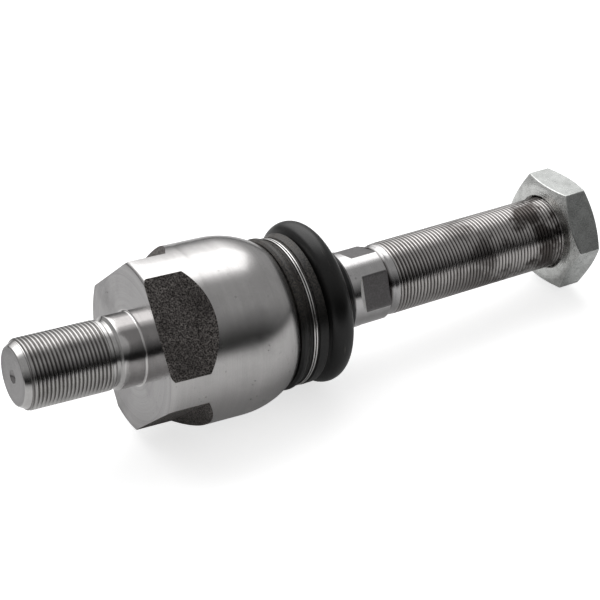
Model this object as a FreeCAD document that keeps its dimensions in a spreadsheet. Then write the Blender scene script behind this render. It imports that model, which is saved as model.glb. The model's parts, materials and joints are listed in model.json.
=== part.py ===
# Inner tie rod: an axial ball joint with a threaded stud, a threaded rod and a lock nut.
# Row frame: +X along the part from the stud to the nut, +Z up, millimetres.
# The origin is the centre of the housing's shoulder face, at the foot of the stud's collar.
# The part lies at rest: its barrel's crown and the boot's bulge touch the floor,
# and the stiff ball joint holds the rod swung up a little from the housing's axis.
import FreeCAD, Part
import math
import os
import Sketcher

DRIVING_SIZES = {
    # How it lies, in degrees
    "rod_swing": 3.0,
    "housing_turn": 5.8,
    "rod_flat_turn": -16.0,
    # Threaded stud, distances back from the shoulder face
    "stud_length": 45.2,
    "stud_thread_radius": 13.0,
    "stud_end_radius": 10.7,
    "stud_lead_length": 3.9,
    "stud_thread_foot": 13.5,
    "stud_relief_radius": 12.4,
    "collar_radius": 13.5,
    "collar_length": 8.5,
    "collar_lead": 1.1,
    # Centre-drilled dimples in both end faces
    "centre_radius": 2.6,
    "centre_depth": 2.2,
    # Housing outside, distances forward from the shoulder face
    "barrel_radius": 33.3,
    "shoulder_chamfer": 1.0,
    "crown_start": 35.4,
    "crown_end": 54.2,
    "groove_radius": 24.9,
    "lip_start": 62.3,
    "lip_radius": 25.9,
    "mouth_end": 65.0,
    "flat_across": 55.0,
    "flat_length": 15.0,
    "runout_slope": 48.0,
    # Housing inside
    "ball_centre": 36.0,
    "seat_floor": 14.0,
    "seat_bore_radius": 23.0,
    "throat_start": 46.0,
    "throat_radius": 17.6,
    "mouth_radius": 22.8,
    # Ball seats
    "seat_clearance": 0.04,
    "ball_clearance": 0.05,
    "seat_split": 0.6,
    "ring_touch_angle": 72.0,
    # Ball rod, distances forward from the ball's centre
    "ball_radius": 19.0,
    "neck_radius": 10.5,
    "neck_end": 37.0,
    "flare_end": 43.6,
    "shank_radius": 14.75,
    "shank_end": 64.4,
    "shank_chamfer": 0.9,
    "rod_flat_across": 26.0,
    "rod_flat_length": 10.1,
    "relief_radius": 13.0,
    "relief_length": 3.4,
    "thread_lead": 1.4,
    "rod_thread_radius": 14.0,
    "rod_length": 159.0,
    "rod_end_chamfer": 1.5,
    # Lock nut at the end of the rod
    "nut_inset": 1.6,
    "nut_thickness": 13.0,
    "nut_across": 41.0,
    "nut_face_radius": 19.3,
    "nut_chamfer_slope": 25.0,
    "nut_bore_clearance": 0.05,
    # Boot cuff, distances forward from the shoulder face
    "boot_clearance": 0.3,
    "boot_wall": 2.5,
    "cuff_radius": 27.2,
    "cuff_length": 12.6,
    # Boot bulge and small end, distances forward from the ball's centre
    "bulge_place": 35.3,
    "bulge_half_width": 5.4,
    "bulge_crest_radius": 30.95,
    "bulge_chamfer": 2.4,
    "bulge_root_radius": 25.7,
    "neck_floor_radius": 16.6,
    "grip_start": 44.0,
    "grip_radius": 18.2,
    "grip_taper_start": 47.0,
    "grip_end": 49.0,
    "grip_end_radius": 15.6,
    # Wire ring of turns side by side on the cuff
    "wire_thickness": 0.96,
    "wire_clearance": 0.02,
    "wire_width": 2.9,
    "wire_place": 60.4,
    # Wire ring between the bulge and the grip at the boot's small end
    "neck_wire_thickness": 1.3,
    "neck_wire_width": 2.6,
    "neck_wire_place": 42.4,
}

V = FreeCAD.Vector
X_AXIS = V(1, 0, 0)
Y_AXIS = V(0, 1, 0)
ORIGIN = V(0, 0, 0)
FULL_TURN = 360.0
FLAT_COUNT = 4

doc = FreeCAD.newDocument("InnerTieRod")
sheet = doc.addObject("Spreadsheet::Sheet", "Sizes")
for row, (alias, value) in enumerate(DRIVING_SIZES.items(), start=1):
    sheet.set(f"A{row}", alias)
    sheet.set(f"B{row}", str(value))
    sheet.setAlias(f"B{row}", alias)
doc.recompute()


def size(name):
    """A driving dimension, read back from the sheet."""
    return float(sheet.get(name))


def bind(text):
    """An expression in sheet names, written with the sheet's own prefix."""
    words = "".join(c if c.isalnum() or c == "_" else " " for c in text).split()
    for word in sorted(set(words), key=len, reverse=True):
        if word in DRIVING_SIZES:
            text = replace_word(text, word, "Sizes." + word)
    return text


def replace_word(text, word, new):
    """Replace whole words only, so that one name inside a longer one stays."""
    out = ""
    i = 0
    while i < len(text):
        end = i + len(word)
        before = text[i - 1] if i else " "
        after = text[end] if end < len(text) else " "
        joined = before.isalnum() or before in "_." or after.isalnum() or after == "_"
        if text[i:end] == word and not joined:
            out += new
            i = end
        else:
            out += text[i]
            i += 1
    return out


def origin_plane(body, role):
    """One of the body's own origin planes, found by its role."""
    return next(f for f in body.Origin.OriginFeatures if f.Role == role)


def outline(body, name, vertices, arcs=None, role="XY_Plane"):
    """A closed sketch through the vertices, each an (x, y) pair of expressions.

    arcs maps an edge's first vertex to (radius, side): side is +1 for an arc that
    bulges to the left of the way from its first vertex to its second, -1 to the right.
    """
    arcs = arcs or {}
    sketch = body.newObject("Sketcher::SketchObject", name)
    sketch.AttachmentSupport = [(origin_plane(body, role), "")]
    sketch.MapMode = "FlatFace"
    points = [V(*(float(body.evalExpression(bind(c))) for c in pair), 0) for pair in vertices]
    count = len(points)
    start_end = []
    for i, a in enumerate(points):
        b = points[(i + 1) % count]
        if i in arcs:
            radius = float(body.evalExpression(bind(arcs[i][0])))
            start_end.append(add_arc(sketch, a, b, radius, arcs[i][1]))
        else:
            sketch.addGeometry(Part.LineSegment(a, b), False)
            start_end.append((1, 2))
    for i, pair in enumerate(vertices):
        before = (i - 1) % count
        sketch.addConstraint(Sketcher.Constraint("Coincident", before, start_end[before][1], i, start_end[i][0]))
        place_vertex(sketch, i, start_end[i][0], pair, points[i])
    for i, (radius, side) in arcs.items():
        value = float(body.evalExpression(bind(radius)))
        index = sketch.addConstraint(Sketcher.Constraint("Radius", i, value))
        sketch.setExpression(f"Constraints[{index}]", bind(radius))
    return sketch


def add_arc(sketch, a, b, radius, side):
    """An arc from a to b; returns which of its ends the outline enters and leaves by."""
    middle = (a + b) * 0.5
    along = b - a
    left = V(-along.y, along.x, 0).normalize()
    half = along.Length / 2
    rise = math.sqrt(max(radius * radius - half * half, 0.0))
    centre = middle - left * rise * side
    circle = Part.Circle(centre, V(0, 0, 1), radius)
    angle_a = math.atan2(a.y - centre.y, a.x - centre.x)
    angle_b = math.atan2(b.y - centre.y, b.x - centre.x)
    if side > 0:
        sketch.addGeometry(Part.ArcOfCircle(circle, angle_b, angle_a), False)
        return 2, 1
    sketch.addGeometry(Part.ArcOfCircle(circle, angle_a, angle_b), False)
    return 1, 2


def place_vertex(sketch, geometry, end, pair, point):
    """Tie a vertex to the sketch's axes by its two expressions."""
    for kind, text, value, axis in (("DistanceX", pair[0], point.x, -2), ("DistanceY", pair[1], point.y, -1)):
        if text == "0":
            sketch.addConstraint(Sketcher.Constraint("PointOnObject", geometry, end, axis))
            continue
        index = sketch.addConstraint(Sketcher.Constraint(kind, -1, 1, geometry, end, value))
        sketch.setExpression(f"Constraints[{index}]", bind(text))


def new_body(label):
    """An empty body whose label names its file."""
    body = doc.addObject("PartDesign::Body", label)
    body.Label = label
    return body


def spin(body, sketch, name, kind="Revolution"):
    """Turn a sketch once about its own X axis, to add or to cut."""
    feature = body.newObject("PartDesign::" + kind, name)
    feature.Profile = sketch
    feature.ReferenceAxis = (sketch, ["H_Axis"])
    feature.Angle = FULL_TURN
    sketch.Visibility = False
    doc.recompute()
    return feature


def cut_flats(body, name, vertices, width):
    """Mill one flat with the profile, then repeat it evenly round the X axis."""
    before = body.Shape.Volume
    sketch = outline(body, name + "_profile", vertices, role="XZ_Plane")
    pocket = body.newObject("PartDesign::Pocket", name)
    pocket.Profile = sketch
    pocket.SideType = "Symmetric"
    pocket.setExpression("Length", bind(width))
    doc.recompute()
    pattern = body.newObject("PartDesign::PolarPattern", name + "_pattern")
    pattern.Originals = [pocket]
    pattern.Axis = (next(f for f in body.Origin.OriginFeatures if f.Role == "X_Axis"), [""])
    pattern.Angle = FULL_TURN
    pattern.Occurrences = FLAT_COUNT
    body.Tip = pattern
    doc.recompute()
    if not body.Shape.Volume < before:
        raise RuntimeError(name + " cuts nothing")


def resting_tilt():
    """The housing axis's dip in degrees when crown and bulge both touch the floor.

    The floor is the line from the front edge of the bulge's crest that touches the crown,
    a ball's surface as wide as the barrel with its centre on the housing's axis.
    """
    swing = math.radians(size("rod_swing"))
    along = size("bulge_place") + size("bulge_half_width") - size("bulge_chamfer")
    down = size("bulge_crest_radius")
    bulge_x = size("ball_centre") + along * math.cos(swing) + down * math.sin(swing)
    bulge_down = down * math.cos(swing) - along * math.sin(swing)
    ahead = bulge_x - size("crown_start")
    lean = math.atan2(bulge_down, ahead)
    return math.degrees(math.asin(size("barrel_radius") / math.hypot(bulge_down, ahead)) - lean)


TILT = resting_tilt()
HOUSING_LIE = FreeCAD.Rotation(Y_AXIS, TILT)
ROD_LIE = FreeCAD.Rotation(Y_AXIS, TILT - size("rod_swing"))
BALL_PLACE = HOUSING_LIE.multVec(X_AXIS * size("ball_centre"))


def on_housing(turn=0.0):
    """Placement of a piece modelled along the housing's axis from the shoulder face."""
    return FreeCAD.Placement(ORIGIN, HOUSING_LIE.multiply(FreeCAD.Rotation(X_AXIS, turn)))


def on_rod(turn=0.0, along=0.0):
    """Placement of a piece modelled along the rod's axis from the ball's centre."""
    base = BALL_PLACE + ROD_LIE.multVec(X_AXIS * along)
    return FreeCAD.Placement(base, ROD_LIE.multiply(FreeCAD.Rotation(X_AXIS, turn)))


def make_housing():
    """Stud, collar, shoulder, barrel and crown in one forging, hollow for ball and seats."""
    body = new_body("housing")
    crown_edge = "sqrt(barrel_radius ^ 2 - (crown_end - crown_start) ^ 2)"
    vertices = [
        ("-stud_length + centre_depth", "0"),
        ("-stud_length", "centre_radius"),
        ("-stud_length", "stud_end_radius"),
        ("-stud_length + stud_lead_length", "stud_thread_radius"),
        ("-stud_thread_foot", "stud_thread_radius"),
        ("-stud_thread_foot", "stud_relief_radius"),
        ("-collar_length - collar_lead", "stud_relief_radius"),
        ("-collar_length", "collar_radius"),
        ("0", "collar_radius"),
        ("0", "barrel_radius - shoulder_chamfer"),
        ("shoulder_chamfer", "barrel_radius"),
        ("crown_start", "barrel_radius"),
        ("crown_end", crown_edge),
        ("crown_end", "groove_radius"),
        ("lip_start", "groove_radius"),
        ("lip_start", "lip_radius"),
        ("mouth_end", "lip_radius"),
        ("mouth_end", "mouth_radius"),
        ("throat_start", "throat_radius"),
        ("throat_start", "seat_bore_radius"),
        ("seat_floor", "seat_bore_radius"),
        ("seat_floor", "0"),
    ]
    sketch = outline(body, "housing_profile", vertices, arcs={11: ("barrel_radius", 1)})
    spin(body, sketch, "housing_turned")
    flat = [
        ("-flat_length", "flat_across / 2"),
        ("flat_length", "flat_across / 2"),
        ("flat_length + flat_across / 2 / tan(runout_slope)", "flat_across"),
        ("-flat_length", "flat_across"),
    ]
    cut_flats(body, "wrench_flat", flat, "flat_across")
    body.Placement = on_housing(size("housing_turn") + FULL_TURN / FLAT_COUNT / 2)
    return body


def make_seat_cup():
    """Cup behind the ball: the ball rests on its floor and turns in its bore."""
    body = new_body("seat_cup")
    floor = "(seat_floor + seat_clearance)"
    bore = "(ball_radius + ball_clearance)"
    vertices = [
        (floor, "0"),
        (floor, "seat_bore_radius - seat_clearance"),
        ("ball_centre - seat_split / 2", "seat_bore_radius - seat_clearance"),
        ("ball_centre - seat_split / 2", bore),
        (f"ball_centre - {bore}", bore),
        (f"ball_centre - {bore}", "0"),
    ]
    spin(body, outline(body, "seat_cup_profile", vertices), "seat_cup_turned")
    body.Placement = on_housing()
    return body


def make_seat_ring():
    """Ring in front of the ball, a cone that the ball touches, held by the rolled-in throat."""
    body = new_body("seat_ring")
    reach = "(ball_radius + ball_clearance)"
    back = "(ball_centre + seat_split / 2)"
    front = "(throat_start - seat_clearance)"
    touch_x = f"(ball_centre + {reach} * cos(ring_touch_angle))"
    touch_r = f"({reach} * sin(ring_touch_angle))"
    vertices = [
        (back, "seat_bore_radius - seat_clearance"),
        (front, "seat_bore_radius - seat_clearance"),
        (front, f"{touch_r} - ({front} - {touch_x}) / tan(ring_touch_angle)"),
        (back, f"{touch_r} + ({touch_x} - {back}) / tan(ring_touch_angle)"),
    ]
    spin(body, outline(body, "seat_ring_profile", vertices), "seat_ring_turned")
    body.Placement = on_housing()
    return body


def make_ball_rod():
    """Ball, neck, shank with flats, relief and threaded end in one piece."""
    body = new_body("ball_rod")
    vertices = [
        ("-ball_radius", "0"),
        ("sqrt(ball_radius ^ 2 - neck_radius ^ 2)", "neck_radius"),
        ("neck_end", "neck_radius"),
        ("flare_end", "shank_radius"),
        ("shank_end", "shank_radius"),
        ("shank_end + shank_chamfer", "shank_radius - shank_chamfer"),
        ("shank_end + shank_chamfer", "relief_radius"),
        ("shank_end + relief_length - thread_lead", "relief_radius"),
        ("shank_end + relief_length", "rod_thread_radius"),
        ("rod_length - rod_end_chamfer", "rod_thread_radius"),
        ("rod_length", "rod_thread_radius - rod_end_chamfer"),
        ("rod_length", "centre_radius"),
        ("rod_length - centre_depth", "0"),
    ]
    sketch = outline(body, "ball_rod_profile", vertices, arcs={0: ("ball_radius", 1)})
    spin(body, sketch, "ball_rod_turned")
    flat = [
        ("shank_end - rod_flat_length", "rod_flat_across / 2"),
        ("shank_end + shank_chamfer", "rod_flat_across / 2"),
        ("shank_end + shank_chamfer", "rod_flat_across"),
        ("shank_end - rod_flat_length - rod_flat_across / 2 / tan(runout_slope)", "rod_flat_across"),
    ]
    cut_flats(body, "rod_flat", flat, "rod_flat_across")
    body.Placement = on_rod(size("rod_flat_turn"))
    return body


def make_boot():
    """Rubber boot: a cuff round the housing's axis and a bulge round the rod's axis."""
    cuff = new_body("boot_cuff")
    inside = "groove_radius + boot_clearance"
    start = "(crown_end + boot_clearance)"
    vertices = [
        (start, inside),
        (start, "cuff_radius"),
        (f"{start} + cuff_length", "cuff_radius"),
        (f"{start} + cuff_length", "lip_radius + boot_clearance"),
        ("lip_start - boot_clearance", "lip_radius + boot_clearance"),
        ("lip_start - boot_clearance", inside),
    ]
    spin(cuff, outline(cuff, "boot_cuff_profile", vertices), "boot_cuff_moulded")
    cuff.Placement = on_housing()

    bulge = new_body("boot_bulge")
    back = "(bulge_place - bulge_half_width)"
    front = "(bulge_place + bulge_half_width)"
    shoulder = "bulge_crest_radius - bulge_chamfer"
    bore = "shank_radius + boot_clearance"
    vertices = [
        (back, "bulge_root_radius"),
        (back, shoulder),
        (f"{back} + bulge_chamfer", "bulge_crest_radius"),
        (f"{front} - bulge_chamfer", "bulge_crest_radius"),
        (front, shoulder),
        (front, "neck_floor_radius"),
        ("grip_start", "neck_floor_radius"),
        ("grip_start", "grip_radius"),
        ("grip_taper_start", "grip_radius"),
        ("grip_end", "grip_end_radius"),
        ("grip_end", bore),
        (f"{front} - boot_wall", bore),
        (f"{front} - boot_wall", "bulge_crest_radius - boot_wall"),
        (f"{back} + boot_wall", "bulge_crest_radius - boot_wall"),
        (f"{back} + boot_wall", "bulge_root_radius"),
    ]
    spin(bulge, outline(bulge, "boot_bulge_profile", vertices), "boot_bulge_moulded")
    bulge.Placement = on_rod()

    boot = doc.addObject("Part::Fuse", "boot")
    boot.Label = "boot"
    boot.Base = cuff
    boot.Tool = bulge
    boot.Refine = False
    return boot


def make_boot_wire_ring():
    """Wire ring on the cuff: one band as wide and thick as its turns."""
    body = new_body("boot_wire_ring")
    floor = "cuff_radius + wire_clearance"
    vertices = [
        ("wire_place - wire_width / 2", floor),
        ("wire_place - wire_width / 2", floor + " + wire_thickness"),
        ("wire_place + wire_width / 2", floor + " + wire_thickness"),
        ("wire_place + wire_width / 2", floor),
    ]
    spin(body, outline(body, "boot_wire_ring_profile", vertices), "boot_wire_ring_wound")
    body.Placement = on_housing()
    return body


def make_neck_wire_ring():
    """Wire ring behind the grip, which holds the boot's small end on the shank."""
    body = new_body("neck_wire_ring")
    floor = "neck_floor_radius + wire_clearance"
    vertices = [
        ("neck_wire_place - neck_wire_width / 2", floor),
        ("neck_wire_place - neck_wire_width / 2", floor + " + neck_wire_thickness"),
        ("neck_wire_place + neck_wire_width / 2", floor + " + neck_wire_thickness"),
        ("neck_wire_place + neck_wire_width / 2", floor),
    ]
    spin(body, outline(body, "neck_wire_ring_profile", vertices), "neck_wire_ring_wound")
    body.Placement = on_rod()
    return body


def make_lock_nut():
    """Hexagonal nut, chamfered on both faces, bored to run on the rod's thread."""
    body = new_body("lock_nut")
    corner = "nut_across / sqrt(3)"
    half = "nut_across / 2"
    hexagon = [
        (corner, "0"),
        (f"{corner} / 2", half),
        (f"-{corner} / 2", half),
        (f"-{corner}", "0"),
        (f"-{corner} / 2", f"-{half}"),
        (f"{corner} / 2", f"-{half}"),
    ]
    pad = body.newObject("PartDesign::Pad", "nut_blank")
    pad.Profile = outline(body, "nut_hexagon", hexagon, role="YZ_Plane")
    pad.setExpression("Length", bind("nut_thickness"))
    doc.recompute()
    drop = "(nut_across - nut_face_radius) * tan(nut_chamfer_slope)"
    near = [("0", "nut_face_radius"), ("0", "nut_across"), (drop, "nut_across")]
    far = [
        ("nut_thickness", "nut_face_radius"),
        (f"nut_thickness - {drop}", "nut_across"),
        ("nut_thickness", "nut_across"),
    ]
    bore = "rod_thread_radius + nut_bore_clearance"
    hole = [
        ("0", "0"),
        ("0", bore),
        ("nut_thickness", bore),
        ("nut_thickness", "0"),
    ]
    for name, vertices in (("near_chamfer", near), ("far_chamfer", far), ("bore", hole)):
        before = body.Shape.Volume
        spin(body, outline(body, name + "_profile", vertices), "nut_" + name, kind="Groove")
        if not body.Shape.Volume < before:
            raise RuntimeError(name + " cuts nothing")
    near_face = size("rod_length") - size("nut_inset") - size("nut_thickness")
    body.Placement = on_rod(along=near_face)
    return body


MAKERS = (
    make_housing,
    make_seat_cup,
    make_seat_ring,
    make_ball_rod,
    make_boot,
    make_boot_wire_ring,
    make_neck_wire_ring,
    make_lock_nut,
)
pieces = [make() for make in MAKERS]
doc.recompute()

for item in doc.Objects:
    if "Invalid" in item.State or "Error" in item.State:
        raise RuntimeError(f"{item.Name} failed: {item.State}")
for piece in pieces:
    if piece.Shape.isNull() or not piece.Shape.isValid():
        raise RuntimeError(f"{piece.Label} has no valid shape")
    if len(piece.Shape.Solids) != 1:
        raise RuntimeError(f"{piece.Label} has {len(piece.Shape.Solids)} solids")

os.makedirs("parts", exist_ok=True)
for piece in pieces:
    piece.Shape.exportStep(os.path.join("parts", piece.Label + ".step"))
    box = piece.Shape.BoundBox
    print(f"{piece.Label}: volume {piece.Shape.Volume:.0f}, x {box.XMin:.1f} to {box.XMax:.1f}")
print(f"tilt {TILT:.3f} degrees, floor at z {min(p.Shape.BoundBox.ZMin for p in pieces):.3f}")
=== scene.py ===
# %% [markdown]
# An inner tie rod in steel and rubber.
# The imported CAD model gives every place: this file only dresses it. Each piece is turned,
# wound or moulded on the real object, so most meshes here are rings of points about one axis.
# %% Load the frame
import json
import math

import bmesh
import bpy
from mathutils import Matrix, Vector

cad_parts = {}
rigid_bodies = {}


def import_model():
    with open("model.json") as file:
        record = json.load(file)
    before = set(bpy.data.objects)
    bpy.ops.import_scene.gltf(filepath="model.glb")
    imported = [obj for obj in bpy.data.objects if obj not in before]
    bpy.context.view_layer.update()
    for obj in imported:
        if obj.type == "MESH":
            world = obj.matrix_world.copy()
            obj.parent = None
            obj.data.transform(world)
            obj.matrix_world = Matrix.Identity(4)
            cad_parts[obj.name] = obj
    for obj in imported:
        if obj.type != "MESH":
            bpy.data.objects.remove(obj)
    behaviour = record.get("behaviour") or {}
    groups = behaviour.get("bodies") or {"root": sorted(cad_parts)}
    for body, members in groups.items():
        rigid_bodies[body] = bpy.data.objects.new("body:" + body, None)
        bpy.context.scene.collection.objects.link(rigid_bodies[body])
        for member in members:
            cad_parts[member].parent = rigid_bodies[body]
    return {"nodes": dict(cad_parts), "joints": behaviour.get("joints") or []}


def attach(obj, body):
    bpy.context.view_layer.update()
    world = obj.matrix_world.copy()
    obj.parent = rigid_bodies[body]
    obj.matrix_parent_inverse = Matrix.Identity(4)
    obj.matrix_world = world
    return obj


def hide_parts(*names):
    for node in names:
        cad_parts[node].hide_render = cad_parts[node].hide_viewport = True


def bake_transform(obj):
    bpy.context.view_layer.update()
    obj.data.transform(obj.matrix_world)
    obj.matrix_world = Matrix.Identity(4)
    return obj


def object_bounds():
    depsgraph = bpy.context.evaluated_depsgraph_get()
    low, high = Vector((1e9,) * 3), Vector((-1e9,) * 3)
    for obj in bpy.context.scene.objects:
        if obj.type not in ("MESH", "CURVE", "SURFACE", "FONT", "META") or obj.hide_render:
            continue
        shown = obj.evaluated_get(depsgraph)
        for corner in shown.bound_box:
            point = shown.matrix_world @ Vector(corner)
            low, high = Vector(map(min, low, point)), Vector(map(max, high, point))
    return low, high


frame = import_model()
MM = 0.001
CAD_LOW, CAD_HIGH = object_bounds()
print("CAD nodes:", ", ".join(sorted(frame["nodes"])))

# %% [markdown]
# The housing and the rod have axes of their own, because the ball joint rests a little bent.
# Both axes cross in the ball's centre, and the joints of the frame already hold them, so they
# are read from there. A piece is then modelled along its own X axis in plain millimetres.
# %% Two axes that meet in the ball
JOINTS = {joint["name"]: joint for joint in frame["joints"]}
HOUSING_AXIS = Vector(JOINTS["boot_turn"]["axis"]).normalized()
ROD_AXIS = Vector(JOINTS["rod_spin"]["axis"]).normalized()
BALL = Vector(JOINTS["rod_spin"]["pos_m"])
BALL_FROM_SHOULDER = BALL.length / MM
SWING = math.degrees(HOUSING_AXIS.angle(ROD_AXIS))


def lie_along(start, axis, turn=0.0):
    """How a piece lies: turned about its own X axis by degrees, then set along axis from start."""
    side = Vector((0, 1, 0))
    matrix = Matrix((axis, side, axis.cross(side))).transposed().to_4x4()
    matrix.translation = start
    return matrix, Matrix.Rotation(math.radians(turn), 3, "X")


print(f"ball {BALL_FROM_SHOULDER:.1f} mm from the shoulder, rod swung {SWING:.1f} degrees")

# %% [markdown]
# The camera stands where the photograph was taken from: to the left, above, a fair way off, with
# a long lens and a slight roll. Its place, aim and roll are written as numbers that can be nudged.
# %% Camera
CAMERA_PLACE = Vector((-0.2173, -0.5383, 0.3683))
CAMERA_AIM = Vector((0.0696, 0.0, -0.005))
CAMERA_ROLL = -4.02
CAMERA_LENS = 115.18


def looking(place, aim):
    """A matrix at place that looks towards aim."""
    turn = (Vector(aim) - Vector(place)).to_track_quat("-Z", "Y").to_matrix().to_4x4()
    return Matrix.Translation(place) @ turn


camera = bpy.data.objects.new("camera", bpy.data.cameras.new("camera"))
bpy.context.scene.collection.objects.link(camera)
camera.data.lens = CAMERA_LENS
camera.data.sensor_width = 36.0
camera.data.clip_end = 20.0
roll = Matrix.Rotation(math.radians(CAMERA_ROLL), 4, "Z")
camera.matrix_world = looking(CAMERA_PLACE, CAMERA_AIM) @ roll
bpy.context.scene.camera = camera
print(f"camera {(CAMERA_PLACE - CAMERA_AIM).length:.3f} m from its aim")

# %% [markdown]
# A turned piece is a profile spun about its axis. Real edges are never quite sharp, and a small
# round on each corner is what catches the light, so the profile is softened before it is spun.
# Close to both ends of a round a further point keeps the shading of the straight parts even.
# %% Profiles with softened corners
MOST_CUT = 0.4
GUARD = 0.15
MOST_GUARD = 0.1
FOLDED_BACK = 3.13
TINY = 1e-9


def guard_point(point, direction, cut):
    """A point a little way from the round, on the straight part that direction runs along."""
    return tuple(point + direction.normalized() * min(GUARD * cut, MOST_GUARD * direction.length))


def softened(points, radius, steps=3, keep=12.0):
    """The open profile with a small round on each corner that turns by more than keep degrees."""
    out = [points[0]]
    for before, corner, after in zip(points, points[1:], points[2:]):
        a = Vector(before) - Vector(corner)
        b = Vector(after) - Vector(corner)
        if a.length < TINY or b.length < TINY:
            continue
        turn = math.pi - a.angle(b)
        if math.degrees(turn) < keep or turn > FOLDED_BACK:
            out.append(corner)
            continue
        cut = min(radius * math.tan(turn / 2), MOST_CUT * a.length, MOST_CUT * b.length)
        start = Vector(corner) + a.normalized() * cut
        end = Vector(corner) + b.normalized() * cut
        out.append(guard_point(start, a, cut))
        for i in range(steps + 1):
            t = i / steps
            out.append(tuple(start * (1 - t) ** 2 + Vector(corner) * 2 * t * (1 - t) + end * t * t))
        out.append(guard_point(end, b, cut))
    out.append(points[-1])
    return out


def arc_points(centre, radius, start, end, steps):
    """Points on an arc from start to end degrees, measured from +X towards +R."""
    angles = [math.radians(start + (end - start) * i / steps) for i in range(steps + 1)]
    return [(centre[0] + radius * math.cos(a), centre[1] + radius * math.sin(a)) for a in angles]


print("corner of 90 degrees becomes", len(softened([(0, 0), (1, 0), (1, 1)], 0.1)) - 2, "points")

# %% [markdown]
# Every mesh below is a grid of points: rows that run along the piece and columns that go round it.
# One function turns such a grid into a smooth mesh, welds what meets, and marks the sharp edges.
# %% Grid to mesh
WELD = 0.002 * MM
SHARP = 32.0
RING_STEPS = 160


def grid_piece(name, rows, lie, wrap=True, sharp=SHARP, face_slot=None):
    """A mesh object from rows of points in millimetres; face_slot(row, column) picks a material.

    Edges that turn by more than sharp degrees stay crisp. lie is what lie_along gives.
    """
    matrix, turned = lie
    count = len(rows[0])
    points = [turned @ Vector(p) * MM for row in rows for p in row]
    faces = []
    slots = []
    for i in range(len(rows) - 1):
        for j in range(count if wrap else count - 1):
            k = (j + 1) % count
            faces.append((i * count + j, i * count + k, (i + 1) * count + k, (i + 1) * count + j))
            slots.append(face_slot(i, j) if face_slot else 0)
    mesh = bpy.data.meshes.new(name)
    mesh.from_pydata(points, [], faces)
    mesh.polygons.foreach_set("material_index", slots)
    made = bmesh.new()
    made.from_mesh(mesh)
    bmesh.ops.remove_doubles(made, verts=made.verts, dist=WELD)
    bmesh.ops.recalc_face_normals(made, faces=made.faces)
    made.to_mesh(mesh)
    made.free()
    mesh.polygons.foreach_set("use_smooth", [True] * len(mesh.polygons))
    mesh.set_sharp_from_angle(angle=math.radians(sharp))
    piece = bpy.data.objects.new(name, mesh)
    bpy.context.scene.collection.objects.link(piece)
    piece.matrix_world = matrix
    return piece


def ring(x, radius, steps):
    """One circle of points about the X axis."""
    angles = [2 * math.pi * j / steps for j in range(steps)]
    return [(x, radius * math.cos(a), radius * math.sin(a)) for a in angles]


def turned_piece(name, profile, lie, face_slot=None):
    """A profile of (x, radius) pairs spun once about X."""
    rows = [ring(x, r, RING_STEPS) for x, r in profile]
    return grid_piece(name, rows, lie, face_slot=face_slot)


def finish_piece(piece, body, slot, nodes, *materials):
    """Give a piece its materials, its body and the nodes it stands for. slot is not used."""
    for material in materials:
        piece.data.materials.append(material)
    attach(piece, body)
    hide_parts(*nodes)
    print(f"{piece.name}: {len(piece.data.polygons)} faces")


# %% [markdown]
# Wrench flats are milled or forged onto a round body. Where a flat meets the round, its edge is a
# curve, and a boolean cut would leave long thin faces there. Instead each row of the grid is bent
# so that a column runs exactly along that edge: inside it the points lie on the flat, outside on
# the round, and the edge stays crisp from end to end.
# %% Round bodies with four flats
FLATS = 4
ACROSS_FLAT = 14
BETWEEN_FLATS = 26


def flatted_row(x, radius, height):
    """One row round X of a body of this radius with four flats at this distance from the axis."""
    edge = math.degrees(math.acos(min(1.0, height / radius))) if radius > 0 else 0.0
    row = []
    for k in range(FLATS):
        middle = 90.0 * k
        for j in range(ACROSS_FLAT + 1):
            lean = edge * (2 * j / ACROSS_FLAT - 1)
            reach = height / math.cos(math.radians(lean)) if edge > 0 else radius
            row.append((x, reach, middle + lean))
        for j in range(1, BETWEEN_FLATS):
            row.append((x, radius, middle + edge + (90 - 2 * edge) * j / BETWEEN_FLATS))
    return [(x, r * math.cos(math.radians(a)), r * math.sin(math.radians(a))) for x, r, a in row]


def flatted_piece(name, profile, height_at, slot_at, lie):
    """A turned profile with four flats; slot_at(x, on_flat) picks the material of each face.

    height_at(x) is the distance of the flats from the axis.
    """
    columns = ACROSS_FLAT + BETWEEN_FLATS
    rows = [flatted_row(x, r, height_at(x)) for x, r in profile]

    def face_slot(i, j):
        middle = (profile[i][0] + profile[i + 1][0]) / 2
        widest = max(profile[i][1], profile[i + 1][1])
        level = abs(profile[i][0] - profile[i + 1][0]) < 1e-6
        return slot_at(middle, j % columns < ACROSS_FLAT and height_at(middle) < widest and not level)

    return grid_piece(name, rows, lie, face_slot=face_slot)


print("columns round a flatted body:", FLATS * (ACROSS_FLAT + BETWEEN_FLATS))

# %% [markdown]
# A screw thread is a helix, and at this scale its ridges are what the eye reads as thread. The
# grid's rows climb with the helix, so that crests and roots are true edges of the mesh. At both
# ends the ridge fades into the plain metal, as the threading die leaves it. The ridge's section
# is given in shares of the pitch and of the depth.
# %% Threads
PITCH = 1.5
DEPTH = 0.85
RIDGE = [
    (0.0, 0.0), (0.06, 0.04), (0.26, 0.88), (0.34, 1.0),
    (0.66, 1.0), (0.74, 0.88), (0.94, 0.04), (1.0, 0.0),
]
THREAD_STEPS = 96


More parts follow.
